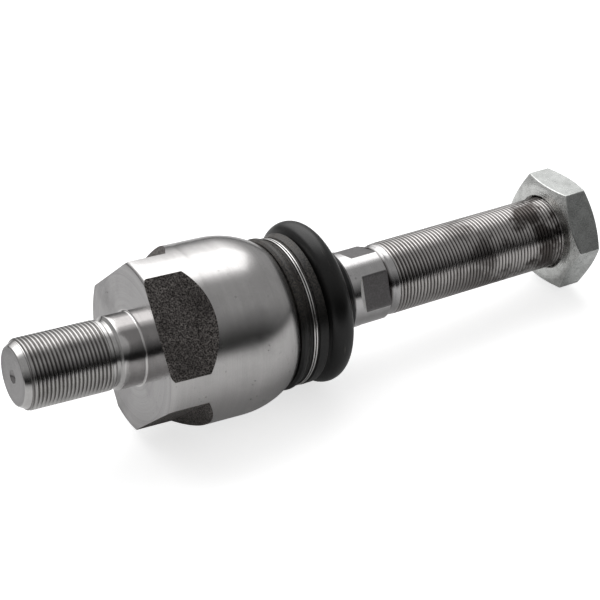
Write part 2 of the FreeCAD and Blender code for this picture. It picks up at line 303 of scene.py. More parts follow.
def threaded_piece(name, start, end, radius, skin_at, lie):
    """A helical ridge from start to end, never above skin_at(x), which also shapes both ends."""
    turns = math.ceil((end - start) / PITCH) + 1
    rows = []
    for step in range(-THREAD_STEPS, turns * THREAD_STEPS):
        angle = 2 * math.pi * step / THREAD_STEPS
        row = []
        for share, lift in RIDGE:
            x = start + PITCH * (step / THREAD_STEPS + share)
            x = min(max(x, start), end)
            r = min(radius - DEPTH * (1 - lift), skin_at(x))
            row.append((x, r * math.cos(angle), r * math.sin(angle)))
        rows.append(row)
    return grid_piece(name, rows, lie, wrap=False, sharp=180.0)


print(f"ridge of {len(RIDGE) - 1} strips, {THREAD_STEPS} steps a turn")

# %% [markdown]
# Materials are built from nodes. Small helpers keep that readable: one fills an input with a number
# or links it to another node's output, one adds a node with its settings and inputs, and the rest
# give names to the few sums that every material here needs.
# %% Node helpers
def fill(tree, socket, value):
    """Link a socket to an output, or set its plain value."""
    if isinstance(value, bpy.types.NodeSocket):
        tree.links.new(value, socket)
    else:
        socket.default_value = value


def add(tree, kind, *values, settings=None, **named):
    """Add a shader node; values go to inputs in order and named ones by name."""
    node = tree.nodes.new("ShaderNode" + kind)
    for key, value in (settings or {}).items():
        setattr(node, key, value)
    for i, value in enumerate(values):
        fill(tree, node.inputs[i], value)
    for key, value in named.items():
        fill(tree, node.inputs[key.replace("_", " ")], value)
    return node


def sum_of(tree, a, b):
    """a + b."""
    return add(tree, "Math", a, b, settings={"operation": "ADD"}).outputs[0]


def product_of(tree, a, b):
    """a times b."""
    return add(tree, "Math", a, b, settings={"operation": "MULTIPLY"}).outputs[0]


def weighted(tree, a, share_a, b, share_b):
    """a and b added, each times its share."""
    return sum_of(tree, product_of(tree, a, share_a), product_of(tree, b, share_b))


def spread(tree, value, low, high, out_low=0.0, out_high=1.0):
    """value mapped from low..high to out_low..out_high, held at both ends."""
    return add(tree, "MapRange", value, low, high, out_low, out_high).outputs["Result"]


def own_place(tree):
    """The point being shaded, in the piece's own frame and in metres."""
    return add(tree, "TexCoord").outputs["Object"]


def off_axis(tree, parts):
    """The distance from the X axis of a point that is split into its parts."""
    across = add(tree, "CombineXYZ", 0.0, parts.outputs["Y"], parts.outputs["Z"])
    length = add(tree, "VectorMath", across.outputs[0], settings={"operation": "LENGTH"})
    return length.outputs["Value"]


def raise_surface(tree, shader, height, depth, strength):
    """Bump a shader by a height that stands for depth millimetres."""
    bump = add(tree, "Bump", Strength=strength, Distance=depth * MM, Height=height)
    fill(tree, shader.inputs["Normal"], bump.outputs["Normal"])


def colours_between(tree, factor, first, second):
    """A colour from first to second by factor; each is an output or three numbers."""
    made = add(tree, "Mix", settings={"data_type": "RGBA"})
    fill(tree, made.inputs["Factor"], factor)
    for title, colour in (("A", first), ("B", second)):
        given = isinstance(colour, bpy.types.NodeSocket)
        fill(tree, made.inputs[title], colour if given else (*colour, 1.0))
    return made.outputs["Result"]


def new_group(name, inputs, outputs):
    """An empty node group with number inputs and outputs, and the nodes that stand for them."""
    group = bpy.data.node_groups.new(name, "ShaderNodeTree")
    for title, value in inputs.items():
        socket = group.interface.new_socket(title, in_out="INPUT", socket_type="NodeSocketFloat")
        socket.default_value = value
    for title in outputs:
        group.interface.new_socket(title, in_out="OUTPUT", socket_type="NodeSocketFloat")
    return group, group.nodes.new("NodeGroupInput"), group.nodes.new("NodeGroupOutput")


def place_group(tree, group, **values):
    """Put a group into a material with its own values."""
    node = tree.nodes.new("ShaderNodeGroup")
    node.node_tree = group
    for key, value in values.items():
        fill(tree, node.inputs[key.replace("_", " ")], value)
    return node


print("node helpers ready")

# %% [markdown]
# A lathe tool leaves rings: fine lines that stay at one place along the axis on a round face, and
# at one radius on an end face. Adding the two distances gives one number that changes across
# the rings on both, and a noise of that number alone draws them. The radius weighs a little more,
# so that the rings don't die out on a cone of 45 degrees.
# %% Group: turning marks
RADIUS_WEIGHT = 1.31
ALONG_ONE_LINE = {"noise_dimensions": "1D"}
marks, marks_in, marks_out = new_group(
    "turning_marks", {"Lines per mm": 3.0, "Unevenness": 0.3}, ["Height", "Tone"]
)
where = own_place(marks)
parts = add(marks, "SeparateXYZ", where)
across = sum_of(marks, parts.outputs["X"], product_of(marks, off_axis(marks, parts), RADIUS_WEIGHT))
across_mm = product_of(marks, across, 1.0 / MM)
wander = add(marks, "TexNoise", where, Scale=60.0, Detail=2.0).outputs["Fac"]
bent = sum_of(marks, across_mm, product_of(marks, wander, marks_in.outputs["Unevenness"]))
counted = product_of(marks, bent, marks_in.outputs["Lines per mm"])
lines = add(marks, "TexNoise", settings=ALONG_ONE_LINE, W=counted, Scale=1.0, Detail=5.0, Roughness=0.62)
bands = add(marks, "TexNoise", settings=ALONG_ONE_LINE, W=across_mm, Scale=0.35, Detail=2.0)
fill(marks, marks_out.inputs["Height"], lines.outputs["Fac"])
tone = weighted(marks, lines.outputs["Fac"], 0.7, bands.outputs["Fac"], 0.3)
fill(marks, marks_out.inputs["Tone"], tone)
print("turning_marks:", len(marks.nodes), "nodes")

# %% [markdown]
# Handling leaves soft stains and small nicks on bare steel, and up close no finish is even. The
# stains are a broad noise cut to a mask, the nicks a cell pattern whose cells are mostly empty,
# and the speckle a fine noise that every metal here shares.
# %% Group: handling
handling, handling_in, handling_out = new_group(
    "handling",
    {"Stain size": 40.0, "Nick size": 300.0, "Speckle size": 1900.0},
    ["Stain", "Nick", "Speckle"],
)
stain_size, nick_size, speckle_size = handling_in.outputs[:3]
where = own_place(handling)
broad = add(handling, "TexNoise", where, Scale=stain_size, Detail=5.0, Roughness=0.6)
fill(handling, handling_out.inputs["Stain"], spread(handling, broad.outputs["Fac"], 0.48, 0.72))
cells = add(handling, "TexVoronoi", where, Scale=nick_size, Randomness=1.0)
rare = add(handling, "TexNoise", where, Scale=120.0, Detail=1.0).outputs["Fac"]
spot = spread(handling, cells.outputs["Distance"], 0.05, 0.22, 1.0, 0.0)
nick = product_of(handling, spot, spread(handling, rare, 0.54, 0.64))
fill(handling, handling_out.inputs["Nick"], nick)
dots = add(handling, "TexNoise", where, Scale=speckle_size, Detail=3.0, Roughness=0.6)
fill(handling, handling_out.inputs["Speckle"], spread(handling, dots.outputs["Fac"], 0.34, 0.66))
print("handling:", len(handling.nodes), "nodes")

# %% [markdown]
# A forging keeps its blasted skin where no tool has cut it: a dense grain of small pits, dark
# in the pits and lighter on the tips.
# %% Group: blasted grain
grain, grain_in, grain_out = new_group("blasted_grain", {"Grain size": 2200.0}, ["Height", "Pit"])
grain_size = grain_in.outputs["Grain size"]
where = own_place(grain)
fine = add(grain, "TexNoise", where, Scale=grain_size, Detail=3.0, Roughness=0.7)
pits = add(grain, "TexVoronoi", where, Scale=grain_size, settings={"feature": "SMOOTH_F1"})
height = weighted(grain, fine.outputs["Fac"], 0.6, pits.outputs["Distance"], 0.6)
fill(grain, grain_out.inputs["Height"], height)
fill(grain, grain_out.inputs["Pit"], spread(grain, height, 0.42, 0.80))
print("blasted_grain:", len(grain.nodes), "nodes")

# %% [markdown]
# Bare turned steel is one recipe with different numbers: a plain metal whose roughness and tone
# follow the turning marks, with stains that dull it and nicks that break the shine. One groove can also
# get painted shade, a near-black laid along it.
# %% Turned steel
# Painted shade: the near-black colour laid into a groove, where shade falls.
GROOVE_SHADE = (0.04, 0.035, 0.033)


def new_material(name):
    """A material with only a Principled BSDF, and its node tree."""
    material = bpy.data.materials.new(name)
    material.use_nodes = True
    return material, material.node_tree, material.node_tree.nodes["Principled BSDF"]


def turned_steel(name, light, dark, gloss, lines_per_mm, depth, stain=0.35, metallic=1.0, shaded_groove=None):
    """Lathe-turned steel between two tones; gloss is the roughness where smooth and where rough.

    shaded_groove is where along the axis, from and to in millimetres, a groove is coloured near-black as
    painted shade.
    """
    material, tree, shader = new_material(name)
    rings = place_group(tree, marks, Lines_per_mm=lines_per_mm)
    worn = place_group(tree, handling, Nick_size=420.0)
    tone = spread(tree, rings.outputs["Tone"], 0.3, 0.7)
    mixed = weighted(tree, tone, 0.7, worn.outputs["Speckle"], 0.3)
    colour = colours_between(tree, mixed, dark, light)
    dulled = weighted(tree, worn.outputs["Stain"], stain, worn.outputs["Nick"], 0.7)
    colour = colours_between(tree, dulled, colour, tuple(c * 0.45 for c in dark))
    # Painted shade: between the groove's two ends the colour goes to near-black.
    if shaded_groove:
        along = add(tree, "SeparateXYZ", own_place(tree)).outputs["X"]
        entered = spread(tree, along, (shaded_groove[0] - 0.15) * MM, (shaded_groove[0] + 0.05) * MM)
        left = spread(tree, along, (shaded_groove[1] - 0.4) * MM, (shaded_groove[1] + 0.6) * MM, 1.0, 0.0)
        colour = colours_between(tree, product_of(tree, entered, left), colour, GROOVE_SHADE)
    fill(tree, shader.inputs["Base Color"], colour)
    rough = sum_of(tree, spread(tree, mixed, 0.0, 1.0, gloss[1], gloss[0]), product_of(tree, dulled, 0.2))
    fill(tree, shader.inputs["Roughness"], rough)
    shader.inputs["Metallic"].default_value = metallic
    height = sum_of(tree, rings.outputs["Height"], product_of(tree, worn.outputs["Nick"], -1.2))
    raise_surface(tree, shader, height, depth, 0.5)
    return material


BARREL_STEEL = turned_steel(
    "barrel_steel", light=(0.61, 0.597, 0.592), dark=(0.49, 0.478, 0.473), gloss=(0.17, 0.22),
    lines_per_mm=4.0, depth=0.005, stain=0.3,
)
SHOULDER_STEEL = turned_steel(
    "shoulder_steel", light=(0.52, 0.51, 0.51), dark=(0.33, 0.32, 0.32), gloss=(0.10, 0.22),
    lines_per_mm=2.0, depth=0.014, stain=0.5,
)
STUD_STEEL = turned_steel(
    "stud_steel", light=(0.80, 0.785, 0.775), dark=(0.64, 0.625, 0.62), gloss=(0.08, 0.15),
    lines_per_mm=5.0, depth=0.004,
)
END_STEEL = turned_steel(
    "end_steel", light=(0.36, 0.35, 0.35), dark=(0.20, 0.195, 0.195), gloss=(0.14, 0.26),
    lines_per_mm=3.0, depth=0.012, stain=0.6,
)
RELIEF_STEEL = turned_steel(
    "relief_steel", light=(0.68, 0.67, 0.66), dark=(0.46, 0.45, 0.445), gloss=(0.12, 0.20),
    lines_per_mm=5.0, depth=0.006, stain=0.5,
)
# The shank's relief groove gets painted shade from 65.25 to 66.6 mm.
SHANK_STEEL = turned_steel(
    "shank_steel", light=(0.62, 0.61, 0.61), dark=(0.48, 0.47, 0.47), gloss=(0.12, 0.19),
    lines_per_mm=5.0, depth=0.003, stain=0.3, shaded_groove=(65.25, 66.6),
)
RUNOUT_STEEL = turned_steel(
    "runout_steel", light=(0.86, 0.85, 0.84), dark=(0.74, 0.73, 0.72), gloss=(0.40, 0.46),
    lines_per_mm=5.0, depth=0.003, metallic=0.25,
)
print("turned steels:", BARREL_STEEL.name, SHOULDER_STEEL.name, STUD_STEEL.name, SHANK_STEEL.name)

# %% [markdown]
# The housing's flats were never machined. Their skin is dark and blasted, so the light breaks up
# into a grain instead of a reflection. The rod's milled flats are the same recipe with hardly any
# depth, because they are dull as well.
# %% Forged skin
def forged_skin(name, tip, pit, grain_size, depth, roughness):
    """Dark metal whose grain is lit on its tips."""
    material, tree, shader = new_material(name)
    skin = place_group(tree, grain, Grain_size=grain_size)
    worn = place_group(tree, handling, Stain_size=90.0)
    colour = colours_between(tree, skin.outputs["Pit"], pit, tip)
    colour = colours_between(tree, product_of(tree, worn.outputs["Stain"], 0.5), colour, pit)
    fill(tree, shader.inputs["Base Color"], colour)
    shader.inputs["Metallic"].default_value = 0.75
    shader.inputs["Roughness"].default_value = roughness
    raise_surface(tree, shader, skin.outputs["Height"], depth, 1.0)
    return material


FORGED_FLAT = forged_skin(
    "forged_flat", tip=(0.34, 0.315, 0.30), pit=(0.017, 0.014, 0.013),
    grain_size=2000.0, depth=0.16, roughness=0.6,
)
MILLED_FLAT = forged_skin(
    "milled_flat", tip=(0.235, 0.227, 0.229), pit=(0.17, 0.162, 0.164),
    grain_size=1600.0, depth=0.004, roughness=0.42,
)
print("flats:", FORGED_FLAT.name, MILLED_FLAT.name)

# %% [markdown]
# In a thread the crests are painted light and the roots painted dark, as highlight and shade. The
# distance from the axis tells one from the other, because the mesh really has ridges.
# %% Thread steel
THREAD_OIL = (0.055, 0.046, 0.042)


def thread_steel(name, radius, light, dark, soiled):
    """Steel that darkens from the crest at radius down to the root.

    soiled is where along the axis, in millimetres, oily smudges begin and are at their full.
    """
    material, tree, shader = new_material(name)
    where = own_place(tree)
    parts = add(tree, "SeparateXYZ", where)
    crest = spread(tree, off_axis(tree, parts), (radius - 0.8 * DEPTH) * MM, (radius - 0.08) * MM)
    worn = place_group(tree, handling, Stain_size=62.0)
    near_end = spread(tree, parts.outputs["X"], soiled[0] * MM, soiled[1] * MM, 0.25, 1.0)
    stained = spread(tree, worn.outputs["Stain"], 0.0, 0.4)
    smudge = product_of(tree, stained, product_of(tree, near_end, 0.9))
    # Painted highlight on the crests and painted shade in the roots, by the distance from the axis.
    colour = colours_between(tree, crest, dark, light)
    colour = colours_between(tree, smudge, colour, THREAD_OIL)
    fill(tree, shader.inputs["Base Color"], colour)
    fill(tree, shader.inputs["Roughness"], spread(tree, crest, 0.0, 1.0, 0.30, 0.15))
    shader.inputs["Metallic"].default_value = 1.0
    scuff = add(tree, "TexNoise", where, Scale=900.0, Detail=3.0)
    raise_surface(tree, shader, scuff.outputs["Fac"], 0.012, 0.4)
    return material


STUD_RADIUS = 13.0
ROD_RADIUS = 14.0
STUD_THREAD_STEEL = thread_steel(
    "stud_thread_steel", STUD_RADIUS, light=(0.50, 0.49, 0.48), dark=(0.25, 0.24, 0.235),
    soiled=(0.0, 10.0),
)
ROD_THREAD_STEEL = thread_steel(
    "rod_thread_steel", ROD_RADIUS, light=(0.54, 0.52, 0.51), dark=(0.10, 0.09, 0.087),
    soiled=(90.0, 120.0),
)
print("threads:", STUD_THREAD_STEEL.name, ROD_THREAD_STEEL.name)

# %% [markdown]
# The boot is moulded rubber, black with a satin shine. Fine brownish dust clings to the top of its
# cuff on both sides of the wire, so the cuff's faces take a dustier mix of the same rubber. The
# skin has thin scuffs, which are a stretched noise cut to fine lines.
# %% Rubber
RUBBER_BLACK = (0.004, 0.004, 0.004)
DUST_BROWN = (0.15, 0.132, 0.115)


def moulded_rubber(name, dust_share):
    """Black satin rubber with scuffs, and with dust on what lies higher."""
    material, tree, shader = new_material(name)
    where = own_place(tree)
    stretched = add(tree, "Mapping", where, Scale=(900.0, 60.0, 90.0), Rotation=(0.4, 0.3, 0.9))
    scuff = add(tree, "TexNoise", stretched.outputs[0], Scale=1.0, Detail=2.0)
    line = spread(tree, scuff.outputs["Fac"], 0.68, 0.74)
    worn = place_group(tree, handling, Stain_size=70.0, Speckle_size=1500.0)
    specks = spread(tree, worn.outputs["Speckle"], 0.2, 0.9)
    uneven = add(tree, "TexNoise", where, Scale=55.0, Detail=3.0).outputs["Fac"]
    patches = spread(tree, uneven, 0.4, 0.6, 0.5, 1.0)
    upward = add(tree, "SeparateXYZ", where).outputs["Z"]
    settled = spread(tree, upward, 2.0 * MM, 26.0 * MM, 0.06, 0.9)
    dust = product_of(tree, product_of(tree, specks, dust_share), product_of(tree, patches, settled))
    dusty = sum_of(tree, dust, product_of(tree, line, 0.35))
    fill(tree, shader.inputs["Base Color"], colours_between(tree, dusty, RUBBER_BLACK, DUST_BROWN))
    fill(tree, shader.inputs["Roughness"], spread(tree, dusty, 0.0, 1.0, 0.29, 0.75))
    shader.inputs["Specular IOR Level"].default_value = 0.42
    raise_surface(tree, shader, worn.outputs["Speckle"], 0.03, 0.25)
    return material


BOOT_RUBBER = moulded_rubber("boot_rubber", dust_share=0.06)
CUFF_RUBBER = moulded_rubber("cuff_rubber", dust_share=1.0)
print("rubber:", BOOT_RUBBER.name, CUFF_RUBBER.name)

# %% [markdown]
# The nut is zinc plated: pale, a little greenish, with a cloudy crystal look and dull scuffs.
# The wire rings are bright drawn steel, and the seats inside are pale moulded plastic.
# %% Zinc, wire and seat plastic
def zinc_plate(name, light, dark, ring_depth):
    """Pale cloudy zinc between two tones, over the faint rings of a turned face."""
    material, tree, shader = new_material(name)
    cloud = add(tree, "TexNoise", own_place(tree), Scale=260.0, Detail=6.0, Roughness=0.65).outputs["Fac"]
    worn = place_group(tree, handling, Stain_size=110.0, Nick_size=500.0)
    mottle = weighted(tree, cloud, 0.7, worn.outputs["Speckle"], 0.3)
    colour = colours_between(tree, spread(tree, mottle, 0.3, 0.7), dark, light)
    spoiled = weighted(tree, worn.outputs["Stain"], 0.35, worn.outputs["Nick"], 0.4)
    colour = colours_between(tree, spoiled, colour, tuple(c * 0.5 for c in dark))
    fill(tree, shader.inputs["Base Color"], colour)
    fill(tree, shader.inputs["Roughness"], spread(tree, mottle, 0.3, 0.7, 0.32, 0.18))
    shader.inputs["Metallic"].default_value = 1.0
    height = sum_of(tree, mottle, product_of(tree, worn.outputs["Nick"], -0.5))
    cloudy = add(tree, "Bump", Strength=0.4, Distance=0.01 * MM, Height=height)
    rings = place_group(tree, marks, Lines_per_mm=1.6)
    turned = add(tree, "Bump", Strength=0.8, Distance=ring_depth * MM, Height=rings.outputs["Height"])
    fill(tree, turned.inputs["Normal"], cloudy.outputs["Normal"])
    fill(tree, shader.inputs["Normal"], turned.outputs["Normal"])
    return material


def drawn_wire(name):
    """Bright wire with a faint mottle."""
    material, tree, shader = new_material(name)
    streak = add(tree, "TexNoise", own_place(tree), Scale=700.0, Detail=3.0).outputs["Fac"]
    colour = colours_between(tree, streak, (0.62, 0.61, 0.60), (0.80, 0.79, 0.78))
    fill(tree, shader.inputs["Base Color"], colour)
    fill(tree, shader.inputs["Roughness"], spread(tree, streak, 0.3, 0.7, 0.10, 0.18))
    shader.inputs["Metallic"].default_value = 1.0
    return material


def seat_plastic(name):
    """Pale moulded plastic with a faint mottle."""
    material, tree, shader = new_material(name)
    mottle = add(tree, "TexNoise", own_place(tree), Scale=300.0, Detail=3.0).outputs["Fac"]
    colour = colours_between(tree, mottle, (0.74, 0.72, 0.66), (0.84, 0.83, 0.78))
    fill(tree, shader.inputs["Base Color"], colour)
    shader.inputs["Roughness"].default_value = 0.5
    raise_surface(tree, shader, mottle, 0.02, 0.2)
    return material


NUT_FACE_ZINC = zinc_plate(
    "nut_face_zinc", light=(0.88, 0.89, 0.87), dark=(0.60, 0.605, 0.59), ring_depth=0.12
)
NUT_SIDE_ZINC = zinc_plate(
    "nut_side_zinc", light=(0.66, 0.675, 0.66), dark=(0.38, 0.39, 0.38), ring_depth=0.004
)
RING_WIRE = drawn_wire("ring_wire")
SEAT_PLASTIC = seat_plastic("seat_plastic")
print("small parts:", NUT_FACE_ZINC.name, NUT_SIDE_ZINC.name, RING_WIRE.name, SEAT_PLASTIC.name)

# %% [markdown]
# The housing is one forging. Its barrel is turned bright, its four flats keep the forging's skin
# and end in a sloped run-out, and its crown is rolled in over the ball's seat. Along the run-out
# the rows are spaced by the angle at which the flat's edge stands, so that its arc closes evenly.
# The hollow inside is modelled too, so that the piece is whole from every side.
# %% Housing barrel
BARREL = 33.3
FLAT_HALF = 27.5
FLAT_END = 15.0
FLAT_EDGE = 34.33
RUNOUT = math.radians(48.0)
RUNOUT_STEPS = 24
CROWN_START = 35.4
CROWN_END = 54.2
HOUSING_TURN = 50.8
HOUSING_LIE = lie_along(Vector(), HOUSING_AXIS, HOUSING_TURN)


def housing_flat_height(x):
    """The flat's distance from the axis: level, then rising along the run-out."""
    return FLAT_HALF + max(0.0, x - FLAT_END) * math.tan(RUNOUT)


runout_rows = []
for i in range(RUNOUT_STEPS + 1):
    lean = math.radians(FLAT_EDGE * (1 - i / RUNOUT_STEPS))
    runout_rows.append((FLAT_END + (BARREL * math.cos(lean) - FLAT_HALF) / math.tan(RUNOUT), BARREL))
crown_lean = math.degrees(math.asin((CROWN_END - CROWN_START) / BARREL))
crown_rows = arc_points((CROWN_START, 0.0), BARREL, 90, 90 - crown_lean, 26)
barrel_profile = [(0.0, 12.0), (0.0, 31.6), (0.0, 32.1), (0.25, 32.55), (0.9, 33.2)]
barrel_profile += [(1.3, BARREL), (5, BARREL), (10, BARREL)] + runout_rows
barrel_profile += [(24.0, BARREL), (29.0, BARREL)] + crown_rows
hollow = [(CROWN_END, 24.9), (62.3, 24.9), (62.3, 25.9), (65.0, 25.9), (65.0, 22.8), (46.0, 17.6)]
hollow += [(46.0, 23.0), (14.0, 23.0), (14.0, 0.0)]
barrel_profile += softened([crown_rows[-1]] + hollow, 0.4)[1:]


def housing_slot(x, on_flat):
    """The forging's skin on flats and run-outs, the faced steel on the shoulder, else the barrel."""
    if on_flat:
        return 1
    return 2 if x < 0.01 else 0


barrel = flatted_piece("housing_barrel", barrel_profile, housing_flat_height, housing_slot, HOUSING_LIE)
finish_piece(barrel, "socket", "housing_steel", ["housing"], BARREL_STEEL, FORGED_FLAT, SHOULDER_STEEL)

# %% [markdown]
# The stud is turned on the same forging: a centre-drilled end, a cone that leads into the thread,
# a relief behind it, and a plain collar with a small fillet where it meets the shoulder.
# %% Stud
STUD_END = -45.2
STUD_CONE_END = -42.6
STUD_RELIEF = (-13.3, -8.6)
STUD_THREAD_START = -42.9
STUD_THREAD_END = -11.9
STUD_LIE = lie_along(Vector(), HOUSING_AXIS)
stud_outline = [(-43.0, 0.0), (STUD_END, 2.6), (STUD_END, 10.5), (-44.95, 10.9)]
stud_outline += [(-42.5, 12.35), (-42.0, 12.1), (-13.2, 12.1), (-12.6, 12.75)]
stud_outline += [(-11.6, 12.95), (-11.0, 12.2), (-9.5, 12.2), (-8.5, 13.5)]
stud_outline = softened(stud_outline + [(-0.75, 13.5)], 0.3) + arc_points((-0.7, 14.2), 0.7, -90, 0, 6)
end_rows = sum(1 for x, r in stud_outline if x < STUD_END + 0.1)


def stud_slot(row, column):
    """The faced end, duller steel on the lead cone and in the relief, else the collar's steel."""
    if row < end_rows:
        return 1
    x = stud_outline[row][0]
    return 2 if x < STUD_CONE_END or STUD_RELIEF[0] < x < STUD_RELIEF[1] else 0


stud = turned_piece("stud_core", stud_outline, STUD_LIE, face_slot=stud_slot)
finish_piece(stud, "socket", "housing_steel", ["housing"], STUD_STEEL, END_STEEL, RELIEF_STEEL)


def stud_skin(x):
    """The lead at the free end and the fade into the relief."""
    lead = 12.2 + (x - STUD_THREAD_START) * 0.9
    fade = 12.5 + max(0.0, STUD_THREAD_END - x) * 0.9
    return min(lead, STUD_RADIUS, fade)


stud_thread = threaded_piece(
    "stud_thread", STUD_THREAD_START, STUD_THREAD_END, STUD_RADIUS, stud_skin, STUD_LIE
)
finish_piece(stud_thread, "socket", "housing_steel", ["housing"], STUD_THREAD_STEEL)

# %% [markdown]
# The rod is turned from one bar: the ball, a neck that the boot hides, a shank with four milled
# flats, a relief and then the long thread, with a centre-drilled end.
# %% Ball rod
ROD_TURN = -16.0
ROD_LIE = lie_along(BALL, ROD_AXIS, ROD_TURN)
BALL_RADIUS = 19.0
SHANK = 14.75
ROD_FLAT_HALF = 13.0
ROD_FLAT_START = 54.3
ROD_FLAT_END = 65.32
ROD_FLAT_EDGE = 28.2
ROD_RUNOUT = math.radians(38.0)
ROD_RUNOUT_STEPS = 8
NECK = 10.5
ROD_THREAD_START = 68.9
ROD_THREAD_END = 158.9
ROD_END = 159.0
NO_FLAT = 99.0


def rod_flat_height(x):
    """The flat's distance from the axis: run-out, flat, and nothing past the shank's end."""
    if x > ROD_FLAT_END:
        return NO_FLAT
    return ROD_FLAT_HALF + max(0.0, ROD_FLAT_START - x) * math.tan(ROD_RUNOUT)


ball_foot = math.degrees(math.asin(NECK / BALL_RADIUS))
ball_rows = arc_points((0.0, 0.0), BALL_RADIUS, 180, ball_foot, 40)
neck_rows = softened([ball_rows[-1], (37.0, NECK), (43.6, SHANK), (49.0, SHANK)], 5.0, steps=6)
flat_rows = [(51.2, SHANK)]
for i in range(ROD_RUNOUT_STEPS + 1):
    lean = math.radians(ROD_FLAT_EDGE * i / ROD_RUNOUT_STEPS)
    rise = SHANK * math.cos(lean) - ROD_FLAT_HALF
    flat_rows.append((ROD_FLAT_START - rise / math.tan(ROD_RUNOUT), SHANK))
relief = [(62.0, SHANK), (64.8, SHANK), (65.25, SHANK - 0.4), (65.4, 13.2), (66.2, 12.75), (67.1, 12.95)]
band = softened([(67.1, 12.95), (68.0, 13.8), (69.6, 13.95), (70.6, 12.9)], 1.4, steps=6)
rod_end = [(70.6, 12.9), (156.5, 12.9), (158.6, 12.2), (ROD_END, 12.0), (ROD_END, 2.6), (156.8, 0.0)]
rod_profile = ball_rows + neck_rows[1:] + flat_rows + [(58.0, SHANK), (62.0, SHANK)]
rod_profile += softened(relief, 0.35)[1:] + band[1:] + softened(rod_end, 0.3)[1:]


def rod_slot(x, on_flat):
    """The milled flats are dull, and the cutter's run-out before them is bright."""
    if on_flat:
        return 1 if x > ROD_FLAT_START else 2
    return 0


rod = flatted_piece("rod_bar", rod_profile, rod_flat_height, rod_slot, ROD_LIE)
finish_piece(rod, "rod", "rod_steel", ["ball_rod"], SHANK_STEEL, MILLED_FLAT, RUNOUT_STEEL)


def rod_skin(x):
    """The lead at both ends of the rod's thread."""
    return min(13.3 + max(0.0, x - ROD_THREAD_START) * 0.6, ROD_RADIUS, 12.5 + max(0.0, ROD_END - x))


rod_thread = threaded_piece("rod_thread", ROD_THREAD_START, ROD_THREAD_END, ROD_RADIUS, rod_skin, ROD_LIE)
finish_piece(rod_thread, "rod", "rod_steel", ["ball_rod"], ROD_THREAD_STEEL)

# %% [markdown]
# The boot's cuff sits on the housing's axis and its bulge on the rod's. Each point of the profile
# says how far it follows the swing, and a smooth step between the two bends the rubber there. The
# outline runs along the outside first and comes back through the inside.
# %% Boot
CUFF_END = 26.5
BULGE_START = 33.0
BULGE_PLACE = 35.6
BULGE_SECTION = 5.05
BULGE_PITCH = 25.9
CUFF_OUTLINE = [
    (18.5, 25.2), (18.5, 27.8), (19.4, 28.7), (20.6, 28.7), (22.7, 27.4),
    (26.0, 27.4), (26.2, 28.1), (29.6, 28.5), (30.0, 27.2),
]
SMALL_END = [
    (40.5, 19.0), (40.9, 16.6), (44.0, 16.6), (44.0, 18.2), (46.9, 18.2), (49.0, 15.6), (49.0, 15.05),
]
INSIDE = [
    (39.7, 15.05), (39.4, 18.6), (38.1, 22.4), (37.9, 27.5), (32.8, 27.5),
    (31.0, 24.9), (29.0, 26.2), (26.1, 26.2), (26.1, 25.2), (18.6, 25.2),
]


def boot_swing_share(x):
    """0 on the cuff, 1 on the bulge, and a smooth step between."""
    t = min(max((x - CUFF_END) / (BULGE_START - CUFF_END), 0.0), 1.0)
    return t * t * (3 - 2 * t)


boot_outline = softened(CUFF_OUTLINE, 0.45)
cuff_rows = len(boot_outline) - 1
boot_outline += arc_points((BULGE_PLACE, BULGE_PITCH), BULGE_SECTION, 158, -42, 30)
boot_profile = boot_outline + softened([boot_outline[-1]] + SMALL_END + INSIDE, 0.8)[1:]
boot_rows = []
for x, r in boot_profile:
    bend = Matrix.Rotation(math.radians(-SWING * boot_swing_share(x)), 3, "Y")
    boot_rows.append([tuple(bend @ Vector(p)) for p in ring(x, r, RING_STEPS)])


def boot_slot(row, column):
    """The dusty mix on the outside of the cuff, the plain one elsewhere."""
    return 1 if row < cuff_rows else 0


boot_lie = lie_along(BALL, HOUSING_AXIS)
boot = grid_piece("boot_rubber", boot_rows, boot_lie, sharp=50.0, face_slot=boot_slot)
boot.data.materials.append(BOOT_RUBBER)
boot.data.materials.append(CUFF_RUBBER)
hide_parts("boot")
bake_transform(boot)
print(f"boot_rubber: {len(boot.data.polygons)} faces")

# %% [markdown]
# The cuff is held by a ring of spring wire, wound a little more than two turns side by side, so
# that its ends lie free. A circle of points is carried along the helix to make it. The small end
# has a ring of its own, hidden behind the bulge.
# %% Wire rings
WIRE = 0.3
WIRE_SIDES = 14
WIRE_STEPS = 96
TURN_TO_TURN = 3.3 * WIRE
END_SIZE = 0.6
BOOT_GROOVE = 27.42
NECK_GROOVE = 16.62


def middle_of(points):
    """The mean of some points."""
    return tuple(Vector([sum(p[i] for p in points) / len(points) for i in range(3)]))


def wound_wire(name, middle, groove, turns, lie):
    """Round wire wound about X on a groove's floor, with small gaps between turns and closed ends."""
    steps = int(WIRE_STEPS * turns)
    rows = []
    for i in range(steps + 1):
        angle = 2 * math.pi * turns * i / steps
        x = middle + TURN_TO_TURN * turns * (i / steps - 0.5)
        size = WIRE * (END_SIZE if i in (0, steps) else 1.0)
        row = []
        for k in range(WIRE_SIDES):
            a = 2 * math.pi * k / WIRE_SIDES
            r = groove + WIRE + size * math.sin(a)
            row.append((x + size * math.cos(a), r * math.cos(angle), r * math.sin(angle)))
        rows.append(row)
    caps = [[middle_of(row)] * WIRE_SIDES for row in (rows[0], rows[-1])]
    return grid_piece(name, [caps[0]] + rows + [caps[1]], lie, sharp=60.0)


boot_wire_lie = lie_along(Vector(), HOUSING_AXIS, -60.0)
boot_wire = wound_wire("boot_wire", middle=60.4, groove=BOOT_GROOVE, turns=2.15, lie=boot_wire_lie)
finish_piece(boot_wire, "boot_sleeve", "ring_wire", ["boot_wire_ring"], RING_WIRE)
neck_wire_lie = lie_along(BALL, ROD_AXIS, 40.0)
neck_wire = wound_wire("neck_wire", middle=42.4, groove=NECK_GROOVE, turns=2.2, lie=neck_wire_lie)
finish_piece(neck_wire, "boot_end", "ring_wire", ["neck_wire_ring"], RING_WIRE)

